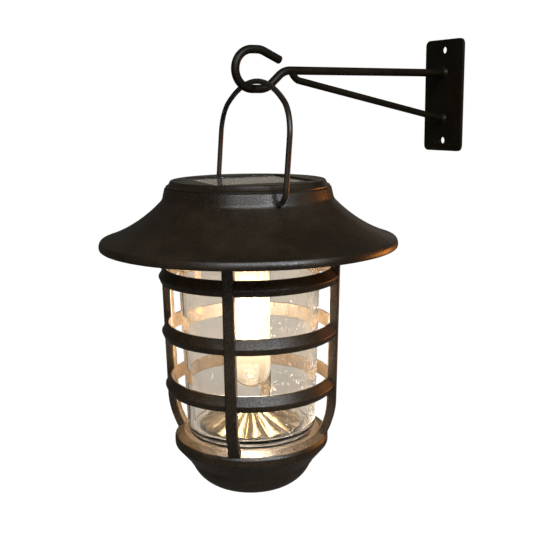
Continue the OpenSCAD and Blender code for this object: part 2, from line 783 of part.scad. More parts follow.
wall_plate();
hook_arm();
brace_rod();
weld_beads();
bail_handle();
canopy();
top_cap();
cap_seal();
panel_board();
solar_cells();
cell_ribbons();
panel_cover();
underside_plate();
plate_screws();
battery_holder();
battery();
battery_contacts();
battery_cover();
circuit_board();
board_spacers();
board_parts();
board_screws();
switch_body();
switch_slider();
panel_leads();
lamp_leads();
lamp_socket();
bulb_base();
bulb_envelope();
bulb_stem();
filament_frame();
led_filaments();
cage_seal();
cage_collar();
upper_ring();
middle_ring();
lower_ring();
cage_bars();
cage_tray();
base_bowl();
base_screw();
glass_cylinder();
glass_gasket();
glass_pad();
reflector();
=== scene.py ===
"""Visual model of a hanging solar lantern on its wall bracket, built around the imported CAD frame.

Lengths in the outlines below are in millimetres. The lantern's own pieces are drawn in the
lantern's space: r from its axis, z from the top of its cap, x along the bail's pivots.
"""
import json
import math
import random

import bmesh
import bpy
from mathutils import Matrix, Vector


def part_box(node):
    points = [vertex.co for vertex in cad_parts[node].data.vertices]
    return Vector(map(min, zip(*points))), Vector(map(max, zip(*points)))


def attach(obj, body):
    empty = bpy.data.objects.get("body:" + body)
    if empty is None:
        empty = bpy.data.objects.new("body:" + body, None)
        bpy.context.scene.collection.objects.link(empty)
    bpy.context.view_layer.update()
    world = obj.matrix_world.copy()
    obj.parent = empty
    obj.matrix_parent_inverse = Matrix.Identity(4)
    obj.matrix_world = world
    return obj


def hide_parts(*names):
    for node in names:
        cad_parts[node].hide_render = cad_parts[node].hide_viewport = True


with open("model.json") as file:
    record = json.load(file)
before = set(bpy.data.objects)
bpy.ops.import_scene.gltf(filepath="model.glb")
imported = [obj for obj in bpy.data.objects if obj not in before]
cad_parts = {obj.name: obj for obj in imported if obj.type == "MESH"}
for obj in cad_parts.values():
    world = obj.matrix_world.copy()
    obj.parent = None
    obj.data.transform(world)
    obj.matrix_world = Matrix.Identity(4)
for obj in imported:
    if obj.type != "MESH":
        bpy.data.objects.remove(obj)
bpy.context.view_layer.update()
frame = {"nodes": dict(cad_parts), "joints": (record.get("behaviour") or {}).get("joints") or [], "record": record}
MM = 0.001


# ---------------------------------------------------------------- places, from the frame

def joint(name):
    """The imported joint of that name."""
    return next(j for j in frame["joints"] if j["name"] == name)


hat_lo, hat_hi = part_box("canopy")
cap_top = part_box("top_cap")[1][2]
AXIS = Vector(((hat_lo[0] + hat_hi[0]) / 2, (hat_lo[1] + hat_hi[1]) / 2, cap_top))
pivot_axis = joint("bail_pivot")["axis"]
BAIL_YAW = math.atan2(pivot_axis[1], pivot_axis[0])
CAGE_TURN = math.radians(-31.9)     # turn of the cage against the bail
PANEL_TURN = math.radians(2.4)      # turn of the cap and its panel against the bail
LANTERN = Matrix.Translation(AXIS) @ Matrix.Rotation(BAIL_YAW, 4, "Z") @ Matrix.Scale(MM, 4)
CAGE = LANTERN @ Matrix.Rotation(CAGE_TURN, 4, "Z")
CAP = LANTERN @ Matrix.Rotation(PANEL_TURN, 4, "Z")
BRACKET = Matrix.Scale(MM, 4)
CORNERS = ((-1, -1), (1, -1), (1, 1), (-1, 1))


def reach_of(node):
    """(largest radius, lowest z, highest z) of a round node, in the lantern's millimetres."""
    lo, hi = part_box(node)
    return (hi[0] - lo[0]) / 2 / MM, (lo[2] - AXIS.z) / MM, (hi[2] - AXIS.z) / MM


# ---------------------------------------------------------------- camera and studio

CAMERA_SIDE = math.radians(60)      # the camera's place around the lantern, from the arm's side
NEAR = Vector((math.sin(CAMERA_SIDE), -math.cos(CAMERA_SIDE), 0))       # towards the camera
RIGHT = Vector((math.cos(CAMERA_SIDE), math.sin(CAMERA_SIDE), 0))
UP = Vector((0, 0, 1))


def camera():
    """Looks down a little on the lantern, from just above its cap."""
    pitch, yaw, roll = math.radians(10.40), math.radians(1.18), math.radians(-0.64)
    lens_mm, sensor_mm = 57.86, 36
    distance, height = 0.5144, 0.041        # metres from the lantern's axis and above its cap
    ahead = math.cos(pitch) * (math.sin(yaw) * RIGHT - math.cos(yaw) * NEAR) - math.sin(pitch) * UP
    side = math.cos(yaw) * RIGHT + math.sin(yaw) * NEAR
    up = side.cross(ahead)
    across = math.cos(roll) * side + math.sin(roll) * up
    upright = math.cos(roll) * up - math.sin(roll) * side
    data = bpy.data.cameras.new("camera")
    data.lens = lens_mm
    data.sensor_width = sensor_mm
    data.clip_start = 0.02
    view = bpy.data.objects.new("camera", data)
    place = AXIS + distance * NEAR + height * UP
    turn = Matrix((across, upright, -ahead)).transposed().to_4x4()
    view.matrix_world = Matrix.Translation(place) @ turn
    bpy.context.scene.collection.objects.link(view)
    bpy.context.scene.camera = view


def softbox(name, offset, size, watts, colour, aim_below=0.0):
    """Soft light at an offset (nearer, right, up) from the hat, in metres, aimed at the hat or below."""
    hat_drop = 0.03
    hat = AXIS - hat_drop * UP
    near, right, up = offset
    place = hat + near * NEAR + right * RIGHT + up * UP
    target = hat - aim_below * UP
    data = bpy.data.lights.new(name, "AREA")
    data.shape = "RECTANGLE"
    data.size, data.size_y = size
    data.energy = watts
    data.color = colour
    lamp = bpy.data.objects.new(name, data)
    lamp.location = place
    lamp.rotation_euler = (target - place).to_track_quat("-Z", "Y").to_euler()
    lamp.visible_camera = False
    bpy.context.scene.collection.objects.link(lamp)


def lights():
    """Soft light from in front, from the right and from behind, and the lit bulb."""
    softbox("key", (1.0, 0.2, 0.78), (1.5, 0.75), 23, (0.93, 0.96, 1))
    softbox("spark", (1.0, 0.66, 0.55), (0.13, 0.13), 6.5, (0.86, 0.92, 1))
    softbox("front", (1.2, -0.4, 0.1), (0.7, 0.5), 1.2, (1, 0.9, 0.78), aim_below=0.08)
    softbox("warm_side", (-0.38, 0.82, -0.09), (0.3, 0.3), 3.0, (1, 0.31, 0.045))
    softbox("behind", (-1.3, 0.3, 0.22), (0.95, 0.3), 0.17, (1, 0.88, 0.7))
    filament_middle = -88
    bulb = bpy.data.lights.new("bulb_light", "POINT")
    bulb.energy = 3.4
    bulb.color = (1, 0.81, 0.61)
    bulb.shadow_soft_size = 0.008
    lamp = bpy.data.objects.new("bulb_light", bulb)
    lamp.location = LANTERN @ Vector((0, 0, filament_middle))
    bpy.context.scene.collection.objects.link(lamp)


def mixed(tree, share, first, second):
    """Colour between first and second, by share; each is a colour or a socket."""
    node = tree.nodes.new("ShaderNodeMix")
    node.data_type = "RGBA"
    tree.links.new(share, node.inputs["Factor"])
    for letter, colour in (("A", first), ("B", second)):
        socket = next(s for s in node.inputs if s.name == letter and s.type == "RGBA")
        if isinstance(colour, tuple):
            socket.default_value = (*colour, 1)
        else:
            tree.links.new(colour, socket)
    return next(s for s in node.outputs if s.type == "RGBA")


def by_ray(tree, seen, through, bounced):
    """Colour socket: what the camera sees directly, what shows through glass, what lights the object."""
    path = tree.nodes.new("ShaderNodeLightPath")
    unseen = mixed(tree, path.outputs["Is Transmission Ray"], bounced, through)
    return mixed(tree, path.outputs["Is Camera Ray"], unseen, seen)


def surroundings():
    """A world and a floor that are white to the camera, tan through glass and dim as light."""
    white, tan, dim = (1, 1, 1), (0.46, 0.415, 0.355), (0.07, 0.066, 0.058)
    world = bpy.data.worlds.new("studio")
    world.use_nodes = True
    bpy.context.scene.world = world
    sky = world.node_tree.nodes["Background"]
    world.node_tree.links.new(by_ray(world.node_tree, white, tan, dim), sky.inputs["Color"])

    floor = bpy.data.meshes.new("floor")
    half, drop = 30, 0.35
    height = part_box("base_bowl")[0][2] - drop
    floor.from_pydata([(sx * half, sy * half, height) for sx, sy in CORNERS], [], [(0, 1, 2, 3)])
    ground = bpy.data.objects.new("floor", floor)
    bpy.context.scene.collection.objects.link(ground)
    pale = Shader("floor_pale")
    pale.set(("Base Color", (0.06, 0.06, 0.06)), ("Roughness", 0.8), ("Emission Strength", 1.0))
    pale.drive("Emission Color", by_ray(pale.material.node_tree, white, tan, dim))
    floor.materials.append(pale.material)
    bpy.context.scene.view_settings.view_transform = "Standard"


# ---------------------------------------------------------------- materials

class Shader:
    """A Principled material with a few ways to drive its sockets from procedural textures."""

    def __init__(self, name):
        self.material = bpy.data.materials.new(name)
        self.material.use_nodes = True
        self.nodes = self.material.node_tree.nodes
        self.links = self.material.node_tree.links
        self.surface = self.nodes["Principled BSDF"]
        self.place = self.nodes.new("ShaderNodeTexCoord").outputs["Object"]

    def set(self, *values):
        """Sets sockets to constants: numbers, or colours of three numbers."""
        for socket, value in values:
            number = isinstance(value, (int, float))
            self.surface.inputs[socket].default_value = value if number else (*value, 1)

    def noise(self, scale, detail=3, roughness=0.55, stretch=None):
        """Noise over the piece, in features of about 1/scale metres."""
        node = self.nodes.new("ShaderNodeTexNoise")
        node.inputs["Scale"].default_value = scale
        node.inputs["Detail"].default_value = detail
        node.inputs["Roughness"].default_value = roughness
        where = self.place
        if stretch:
            mapping = self.nodes.new("ShaderNodeMapping")
            mapping.inputs["Scale"].default_value = stretch
            self.links.new(self.place, mapping.inputs["Vector"])
            where = mapping.outputs[0]
        self.links.new(where, node.inputs["Vector"])
        return node.outputs["Fac"]

    def voronoi(self, scale, feature="F1", output="Distance"):
        """Cells over the piece, about 1/scale metres apart."""
        node = self.nodes.new("ShaderNodeTexVoronoi")
        node.feature = feature
        node.inputs["Scale"].default_value = scale
        self.links.new(self.place, node.inputs["Vector"])
        return node.outputs[output]

    def ramp(self, value, low, high, to_low=0.0, to_high=1.0):
        """value, from low to high, mapped to the second range and held there."""
        node = self.nodes.new("ShaderNodeMapRange")
        node.interpolation_type = "SMOOTHSTEP"
        ends = {"From Min": low, "From Max": high, "To Min": to_low, "To Max": to_high}
        for socket, number in ends.items():
            node.inputs[socket].default_value = number
        self.links.new(value, node.inputs["Value"])
        return node.outputs[0]

    def blend(self, share, first, second):
        return mixed(self.material.node_tree, share, first, second)

    def math(self, operation, first, second):
        """first and second, each a number or a socket, put together by a maths node."""
        node = self.nodes.new("ShaderNodeMath")
        node.operation = operation
        for socket, value in zip(node.inputs, (first, second)):
            if isinstance(value, (int, float)):
                socket.default_value = value
            else:
                self.links.new(value, socket)
        return node.outputs[0]

    def drive(self, socket, source):
        """Feeds a socket of the surface from a texture or a sum."""
        self.links.new(source, self.surface.inputs[socket])

    def bump(self, height, depth_mm, strength):
        """Surface relief from height, depth_mm deep."""
        node = self.nodes.new("ShaderNodeBump")
        node.inputs["Strength"].default_value = strength
        node.inputs["Distance"].default_value = depth_mm * MM
        self.links.new(height, node.inputs["Height"])
        self.drive("Normal", node.outputs[0])


def shade(colour, factor, lift=0.0):
    """A darker or paler version of a colour."""
    return tuple(min(1, factor * c + lift) for c in colour)


def satin_black(name, tint, roughness, grain_mm, specular, relief_mm, sparkle=0.2):
    """Black finish with a sandy grain: pale grains, uneven gloss and a fine relief that sparkles."""
    m = Shader(name)
    patches = m.noise(45, 2)
    grain = m.noise(1 / (grain_mm * MM), 2, 0.75)
    specks = m.ramp(m.voronoi(0.6 / (grain_mm * MM)), 0.06, 0.24, 1, 0)
    dark = m.blend(m.ramp(patches, 0.35, 0.7), shade(tint, 0.75), shade(tint, 1.25))
    m.drive("Base Color", m.blend(m.math("MULTIPLY", specks, 0.5), dark, shade(tint, 4, 0.01)))
    uneven = m.math("ADD", m.math("MULTIPLY", patches, 0.35), m.math("MULTIPLY", grain, 0.65))
    m.drive("Roughness", m.ramp(uneven, 0.3, 0.7, roughness - 0.12, roughness + 0.12))
    m.bump(grain, relief_mm, 0.7)
    glints = m.noise(1.1 / (grain_mm * MM), 1)
    dull, bright = (1 - sparkle / 2) * specular, (1 + sparkle) * specular
    m.drive("Specular IOR Level", m.ramp(glints, 0.4, 0.68, dull, bright))
    return m.material


def moulded(name, colour, roughness=0.5, grain_mm=0.5):
    """Plain moulded plastic with a faint spark-eroded grain."""
    m = Shader(name)
    grain = m.noise(1 / (grain_mm * MM), 2, 0.6)
    patches = m.noise(90, 2)
    m.drive("Base Color", m.blend(patches, shade(colour, 0.85), shade(colour, 1.15)))
    m.drive("Roughness", m.ramp(grain, 0.3, 0.7, roughness - 0.08, roughness + 0.08))
    m.bump(grain, 0.03, 0.5)
    m.set(("Specular IOR Level", 0.4))
    return m.material


def rubber(name, colour, roughness=0.75):
    """Soft matt rubber with a little pale dust."""
    m = Shader(name)
    dust = m.noise(400, 4, 0.7)
    m.drive("Base Color", m.blend(m.ramp(dust, 0.45, 0.75), colour, shade(colour, 1.6, 0.01)))
    m.drive("Roughness", m.ramp(dust, 0.3, 0.7, roughness - 0.1, roughness + 0.1))
    m.bump(dust, 0.04, 0.4)
    return m.material


def metal(name, colour, roughness):
    """Bare metal with brush marks round it and a little tarnish."""
    m = Shader(name)
    marks = m.noise(900, 3, 0.6, stretch=(1, 1, 14))
    tarnish = m.noise(160, 3)
    m.drive("Base Color", m.blend(m.ramp(tarnish, 0.45, 0.8), colour, shade(colour, 0.62)))
    m.drive("Roughness", m.ramp(marks, 0.3, 0.7, roughness, roughness + 0.16))
    m.bump(marks, 0.02, 0.35)
    m.set(("Metallic", 1.0))
    return m.material


GLASS_IOR = 1.45


def glass(name, tint, roughness=0.0, waves_mm=0.012, clear=1.0):
    """Clear glass with slow waves in its surface and a faint tint."""
    m = Shader(name)
    slow = m.noise(38, 2, 0.5, stretch=(1, 1, 0.35))
    m.drive("Base Color", m.blend(m.ramp(slow, 0.3, 0.7), tint, shade(tint, 1.03)))
    m.bump(slow, waves_mm, 1.0)
    m.set(("Transmission Weight", clear), ("Roughness", roughness), ("IOR", GLASS_IOR))
    return m.material


def lit_bulb(name, hot, cool):
    """Bulb glass that glows round its filaments.

    Depths are in millimetres below the cap: the glow is full between the two of hot and faint
    from cool downwards.
    """
    m = Shader(name)
    fade_in, full, faint = 16, 0.3, 0.12
    split = m.nodes.new("ShaderNodeSeparateXYZ")
    m.links.new(m.place, split.inputs[0])
    depth = m.math("DIVIDE", m.math("SUBTRACT", split.outputs[2], AXIS.z), -MM)
    above = m.ramp(depth, hot[0] - fade_in, hot[0])
    below = m.ramp(depth, hot[1], cool, 1, faint)
    haze = m.noise(60, 2)
    m.drive("Base Color", m.blend(haze, (0.99, 0.95, 0.86), (1.0, 0.98, 0.93)))
    m.drive("Emission Strength", m.math("MULTIPLY", m.math("MULTIPLY", above, below), full))
    m.set(("Emission Color", (1.0, 0.8, 0.55)), ("Transmission Weight", 1.0))
    m.set(("Roughness", 0.0), ("IOR", GLASS_IOR))
    m.bump(haze, 0.01, 0.5)
    return m.material


def chrome(name, colour):
    """Bright plating with a patchy haze."""
    m = Shader(name)
    haze = m.noise(120, 3)
    m.drive("Base Color", m.blend(haze, colour, shade(colour, 0.8)))
    m.drive("Roughness", m.ramp(haze, 0.35, 0.75, 0.1, 0.28))
    m.bump(m.noise(500, 2), 0.01, 0.4)
    m.set(("Metallic", 1.0))
    return m.material


def circuit_green(name):
    """Green solder mask over faint copper tracks."""
    m = Shader(name)
    tracks = m.ramp(m.voronoi(330, "DISTANCE_TO_EDGE"), 0.02, 0.05)
    m.drive("Base Color", m.blend(tracks, (0.012, 0.075, 0.028), (0.02, 0.13, 0.045)))
    m.drive("Roughness", m.ramp(m.noise(700), 0.3, 0.7, 0.25, 0.4))
    m.bump(tracks, 0.03, 0.5)
    return m.material


def cell_blue(name):
    """Crystalline cells: shards of slightly different blue, with fine printed fingers."""
    m = Shader(name)
    shards = m.voronoi(160, output="Color")
    split = m.nodes.new("ShaderNodeSeparateColor")
    m.links.new(shards, split.inputs[0])
    crystal = m.blend(split.outputs[0], (0.006, 0.013, 0.05), (0.014, 0.03, 0.105))
    where = m.nodes.new("ShaderNodeMapping")
    where.inputs["Rotation"].default_value = (0, 0, -BAIL_YAW)
    m.links.new(m.place, where.inputs["Vector"])
    lines = m.nodes.new("ShaderNodeTexWave")
    lines.bands_direction = "Y"
    lines.inputs["Scale"].default_value = 200
    m.links.new(where.outputs[0], lines.inputs["Vector"])
    fingers = m.ramp(lines.outputs["Fac"], 0.9, 0.98)
    m.drive("Base Color", m.blend(fingers, crystal, (0.42, 0.43, 0.45)))
    m.drive("Roughness", m.ramp(split.outputs[1], 0, 1, 0.22, 0.4))
    m.bump(fingers, 0.02, 0.4)
    return m.material


def glowing(name):
    """Lit filament coating: yellow phosphor, hotter along its middle."""
    m = Shader(name)
    grain = m.noise(900, 2)
    m.drive("Base Color", m.blend(grain, (1.0, 0.7, 0.3), (1.0, 0.85, 0.5)))
    m.drive("Emission Color", m.blend(grain, (1.0, 0.62, 0.28), (1.0, 0.75, 0.42)))
    m.set(("Emission Strength", 150.0), ("Roughness", 0.6))
    return m.material


MATERIALS = {
    "bracket_paint": satin_black("bracket_paint", (0.0065, 0.0045, 0.002), roughness=0.4,
                                 grain_mm=0.6, specular=0.15, relief_mm=0.02),
    "bail_paint": satin_black("bail_paint", (0.016, 0.011, 0.007), roughness=0.34,
                              grain_mm=0.6, specular=0.35, relief_mm=0.02),
    "hat_black": satin_black("hat_black", (0.012, 0.0077, 0.0036), roughness=0.36,
                             grain_mm=0.9, specular=0.42, relief_mm=0.12, sparkle=0.22),
    "cage_black": satin_black("cage_black", (0.0185, 0.0122, 0.006), roughness=0.37,
                              grain_mm=1.0, specular=0.4, relief_mm=0.25, sparkle=0.6),
    "inner_black": moulded("inner_black", (0.022, 0.021, 0.02)),
    "rubber": rubber("rubber", (0.012, 0.012, 0.012)),
    "silicone": rubber("silicone", (0.55, 0.53, 0.5), 0.5),
    "board_green": circuit_green("board_green"),
    "cell_blue": cell_blue("cell_blue"),
    "ribbon": metal("ribbon", (0.78, 0.78, 0.79), 0.25),
    "panel_glass": glass("panel_glass", (0.93, 0.95, 0.95), roughness=0.09, waves_mm=0.015),
    "screw_steel": metal("screw_steel", (0.66, 0.66, 0.67), 0.28),
    "battery_wrap": moulded("battery_wrap", (0.04, 0.17, 0.07), 0.3, grain_mm=0.8),
    "part_black": moulded("part_black", (0.02, 0.02, 0.023), 0.45),
    "switch_red": moulded("switch_red", (0.42, 0.03, 0.02), 0.42),
    "lead_red": moulded("lead_red", (0.42, 0.025, 0.02), 0.4, grain_mm=0.3),
    "lead_black": moulded("lead_black", (0.016, 0.016, 0.016), 0.4, grain_mm=0.3),
    "bulb_shell": metal("bulb_shell", (0.72, 0.71, 0.69), 0.24),
    "bulb_glass": lit_bulb("bulb_glass", hot=(64, 104), cool=128),
    "filament": glowing("filament"),
    "clear_glass": glass("clear_glass", (0.985, 0.98, 0.965), clear=0.9988),
    "glass_bead": glass("glass_bead", (1.0, 0.98, 0.95), roughness=0.1, waves_mm=0.0, clear=0.7),
    "reflector_chrome": chrome("reflector_chrome", (0.37, 0.31, 0.215)),
}
SLOT = {part["node"]: part["material_slot"] for part in frame["record"]["subparts"]}


def finish_cad_nodes():
    """Gives every CAD node the material of its slot."""
    for node, piece in frame["nodes"].items():
        materials = piece.data.materials
        for i in range(len(materials)):
            materials[i] = MATERIALS[SLOT[node]]
        if not materials:
            materials.append(MATERIALS[SLOT[node]])


# ---------------------------------------------------------------- mesh helpers

def arc(centre, radius, start, end, steps=12):
    """Points of an arc, from angle start to angle end, in degrees."""
    turn = [math.radians(start + (end - start) * i / steps) for i in range(steps + 1)]
    return [(centre[0] + radius * math.cos(a), centre[1] + radius * math.sin(a)) for a in turn]


def bend(first, corner, last, steps):
    """Points from first to last, bending smoothly where the lines through corner meet; all are vectors."""
    points = []
    for k in range(steps + 1):
        t = k / steps
        points.append((1 - t) ** 2 * first + 2 * t * (1 - t) * corner + t ** 2 * last)
    return points


def rounded(corners, steps=5):
    """A closed outline through corners (x, y, radius), each corner softened by its radius."""
    outline = []
    for i, (x, y, radius) in enumerate(corners):
        here = Vector((x, y))
        back = Vector(corners[i - 1][:2]) - here
        on = Vector(corners[(i + 1) % len(corners)][:2]) - here
        if radius <= 0:
            outline.append((x, y))
            continue
        half = back.angle(on) / 2
        cut = min(radius / math.tan(half), 0.48 * back.length, 0.48 * on.length)
        first, last = here + cut * back.normalized(), here + cut * on.normalized()
        outline += [tuple(p) for p in bend(first, here, last, steps)]
    return outline


def rectangle(width, depth, corner, steps=6):
    """Outline of a rectangle round the origin, with rounded corners."""
    return rounded([(sx * width / 2, sy * depth / 2, corner) for sx, sy in CORNERS], steps)


def circle(radius, steps=28):
    """Outline of a circle round the origin."""
    return [(radius * math.cos(2 * math.pi * k / steps), radius * math.sin(2 * math.pi * k / steps))
            for k in range(steps)]


def held(outline, near=0.3, least=2.5):
    """A closed outline with points added near the ends of its long stretches, so they shade flat."""
    points = []
    for i, start in enumerate(outline):
        points.append(tuple(start))
        first, last = Vector(start), Vector(outline[(i + 1) % len(outline)])
        length = (last - first).length
        if length > least and (first.x or last.x):
            points += [tuple(first.lerp(last, near / length)), tuple(last.lerp(first, near / length))]
    return points


def drawn(name, verts, faces):
    """A new mesh of those vertices and faces."""
    mesh = bpy.data.meshes.new(name)
    mesh.from_pydata(verts, [], faces)
    return mesh


def evaluated(thing):
    """The mesh that an object has once its curve or its modifiers are worked out."""
    bpy.context.scene.collection.objects.link(thing)
    return bpy.data.meshes.new_from_object(thing.evaluated_get(bpy.context.evaluated_depsgraph_get()))


def make(name, mesh, node, matrix, sharp=40):
    """Places a finished mesh, gives it its node's material and body, and hides that node."""
    mesh.transform(matrix)
    b = bmesh.new()
    b.from_mesh(mesh)
    bmesh.ops.remove_doubles(b, verts=b.verts, dist=1e-7)
    bmesh.ops.recalc_face_normals(b, faces=b.faces)
    b.to_mesh(mesh)
    b.free()
    mesh.shade_smooth()
    mesh.set_sharp_from_angle(angle=math.radians(sharp))
    piece = bpy.data.objects.new(name, mesh)
    bpy.context.scene.collection.objects.link(piece)
    mesh.materials.append(MATERIALS[SLOT[node]])
    body = next(b for b, nodes in frame["record"]["behaviour"]["bodies"].items() if node in nodes)
    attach(piece, body)
    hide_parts(node)
    return piece


def lathe_mesh(name, outline, steps=192):
    """Turns a closed outline of (r, z) points round the axis."""
    outline = held(outline)
    count = len(outline)
    verts = [(r * math.cos(2 * math.pi * i / steps), r * math.sin(2 * math.pi * i / steps), z)
             for i in range(steps) for r, z in outline]
    faces = []
    for i in range(steps):
        for k in range(count):
            on_axis = outline[k][0] == 0, outline[(k + 1) % count][0] == 0
            if all(on_axis):
                continue
            a, b = i * count + k, i * count + (k + 1) % count
            c, d = (i + 1) % steps * count + (k + 1) % count, (i + 1) % steps * count + k
            if on_axis[0]:
                faces.append((a, b, c))
            elif on_axis[1]:
                faces.append((a, b, d))
            else:
                faces.append((a, b, c, d))
    return drawn(name, verts, faces)


def grid(bands, count, start=0):
    """Faces between neighbouring closed rings of count vertices; start is the first ring's first."""
    return [(start + i * count + k, start + i * count + (k + 1) % count,
             start + (i + 1) * count + (k + 1) % count, start + (i + 1) * count + k)
            for i in range(bands) for k in range(count)]


def sweep_mesh(name, path, section, across, round_ends=0.0):
    """Sweeps a closed section along a path in a plane; across is that plane's normal.

    The ends are flat, or domes of the length round_ends.
    """
    path = [Vector(p) for p in path]
    across = Vector(across)
    rings = []

    def ring(centre, along, scale=1.0):
        side = along.cross(across).normalized()
        rings.append([centre + scale * (u * side + v * across) for u, v in section])

    start, end = (path[1] - path[0]).normalized(), (path[-1] - path[-2]).normalized()
    tilt = [math.radians(a) for a in (10, 30, 50, 70)] if round_ends else []
    for a in tilt:
        ring(path[0] - round_ends * math.cos(a) * start, start, math.sin(a))
    for i, p in enumerate(path):
        ring(p, (path[min(i + 1, len(path) - 1)] - path[max(i - 1, 0)]).normalized())
    for a in reversed(tilt):
        ring(path[-1] + round_ends * math.cos(a) * end, end, math.sin(a))
    count = len(section)
    faces = grid(len(rings) - 1, count)
    faces += [tuple(range(count)), tuple((len(rings) - 1) * count + k for k in reversed(range(count)))]
    return drawn(name, [p for r in rings for p in r], faces)


def slab(outline, z0, z1):
    """A flat closed solid over an outline of (x, y) points."""
    count = len(outline)
    verts = [(x, y, z) for z in (z0, z1) for x, y in outline]
    faces = grid(1, count) + [tuple(range(count)), tuple(count + k for k in range(count))]
    mesh = drawn("slab", verts, faces)
    b = bmesh.new()
    b.from_mesh(mesh)
    bmesh.ops.recalc_face_normals(b, faces=b.faces)
    b.to_mesh(mesh)
    b.free()
    return mesh


def cut(mesh, *cutters):
    """The mesh with the cutters' volumes taken away."""
    whole = bpy.data.objects.new("to_cut", mesh)
    tools = []
    for cutter in cutters:
        tool = bpy.data.objects.new("cutter", cutter)
        bpy.context.scene.collection.objects.link(tool)
        tools.append(tool)
        cutting = whole.modifiers.new("cut", "BOOLEAN")
        cutting.object = tool
        cutting.solver = "EXACT"
    result = evaluated(whole)
    for thing in [whole] + tools:
        bpy.data.objects.remove(thing)
    return result


def joined(name, meshes):
    """One mesh of several."""
    b = bmesh.new()
    for mesh in meshes:
        b.from_mesh(mesh)
    whole = bpy.data.meshes.new(name)
    b.to_mesh(whole)
    b.free()
    return whole


def around(mesh, count, first=0.0):
    """Copies of a mesh round the axis, the first one turned by first, in degrees."""
    copies = []
    for i in range(count):
        copy = mesh.copy()
        copy.transform(Matrix.Rotation(math.radians(first) + 2 * math.pi * i / count, 4, "Z"))
        copies.append(copy)
    return copies


# ---------------------------------------------------------------- wall bracket

REACH = 150             # from the wall to the middle of the hook
ROD_R = 2.5
ARM_Z = 15
HOOK_R = 11.4
HOOK_Z = ARM_Z + 0.5    # middle of the hook's bend
PLATE_T = 2             # the plate's thickness; both rods end on its front


def in_bracket_plane(points):
    """Points (distance from the hook towards the wall, height) in the plane of the bracket."""
    return [(0, x - REACH, z) for x, z in points]


def wall_plate():
    """Plate with rounded corners and edges and two screw holes."""
    lo, hi = (Vector(corner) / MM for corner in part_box("wall_plate"))
    edge, corner_r, hole_r, hole_z = 0.35, 4, 2.3, 30
    half_w, half_h, half_t = hi.x - edge, hi.z - edge, (hi.y - lo.y) / 2
    loops = [rectangle(2 * half_w, 2 * half_h, corner_r, 10)]
    loops += [[(x, side * hole_z + z) for x, z in circle(hole_r + edge, 40)] for side in (-1, 1)]
    outline = bpy.data.curves.new("wall_plate", "CURVE")
    outline.dimensions = "2D"
    outline.fill_mode = "BOTH"
    for loop in loops:
        spline = outline.splines.new("POLY")
        spline.points.add(len(loop) - 1)
        for point, (x, z) in zip(spline.points, loop):
            point.co = (x, z, 0, 1)
        spline.use_cyclic_u = True
    outline.extrude = half_t - edge
    outline.bevel_depth = edge
    outline.bevel_resolution = 3
    plate = bpy.data.objects.new("wall_plate_outline", outline)
    mesh = evaluated(plate)
    bpy.data.objects.remove(plate)
    mesh.name = "wall_plate_skin"
    mesh.materials.clear()
    stand = Matrix.Translation((0, -half_t, 0)) @ Matrix.Rotation(math.radians(90), 4, "X")
    make("wall_plate_skin", mesh, "wall_plate", BRACKET @ stand, sharp=20)


def hook_arm():
    """Rod that runs out from the plate, dips, and curls up and over into an open hook."""
    half_flat, floor_length, tip_length, tip_dome, bend_r = 1.75, 3.5, 13, 1.2, 12
    rise, tip = math.radians(41), math.radians(24)
    rise_x, rise_z = floor_length + HOOK_R * math.sin(rise), HOOK_Z - HOOK_R * math.cos(rise)
    climb = ARM_Z - bend_r * (1 - math.cos(rise)) - rise_z
    bend_x = rise_x + climb * math.cos(rise) / math.sin(rise) + bend_r * math.sin(rise)
    over = arc((half_flat, HOOK_Z), HOOK_R, 90 - math.degrees(tip), 90, 6)
    along_tip = tip_length - tip_dome
    path = [(over[0][0] + along_tip * math.cos(tip), over[0][1] - along_tip * math.sin(tip))]
    path += over + arc((-half_flat, HOOK_Z), HOOK_R, 90, 270, 40)
    path += arc((floor_length, HOOK_Z), HOOK_R, 270, 270 + math.degrees(rise), 10)
    path += arc((bend_x, ARM_Z - bend_r), bend_r, 90 + math.degrees(rise), 90, 8)
    path += [(REACH - PLATE_T, ARM_Z)]
    mesh = sweep_mesh("hook_arm_skin", in_bracket_plane(path), circle(ROD_R), (1, 0, 0), tip_dome)
    make("hook_arm_skin", mesh, "hook_arm", BRACKET)


def brace_rod():
    """Rod from under the arm down to the plate, with a tight bend near its top."""
    rod_r, past_elbow = 2.1, 1 / 50
    top, elbow = Vector((25.8, ARM_Z - 1.2)), Vector((28.6, ARM_Z - 5.4))
    foot = Vector((REACH - PLATE_T, -15.5))
    path = bend(top, elbow, elbow.lerp(foot, past_elbow), 6) + [foot]
    mesh = sweep_mesh("brace_rod_skin", in_bracket_plane(path), circle(rod_r), (1, 0, 0))
    make("brace_rod_skin", mesh, "brace_rod", BRACKET)


NECK_BORE_R = 47.6      # inside of the hat's neck, where the bail's feet end


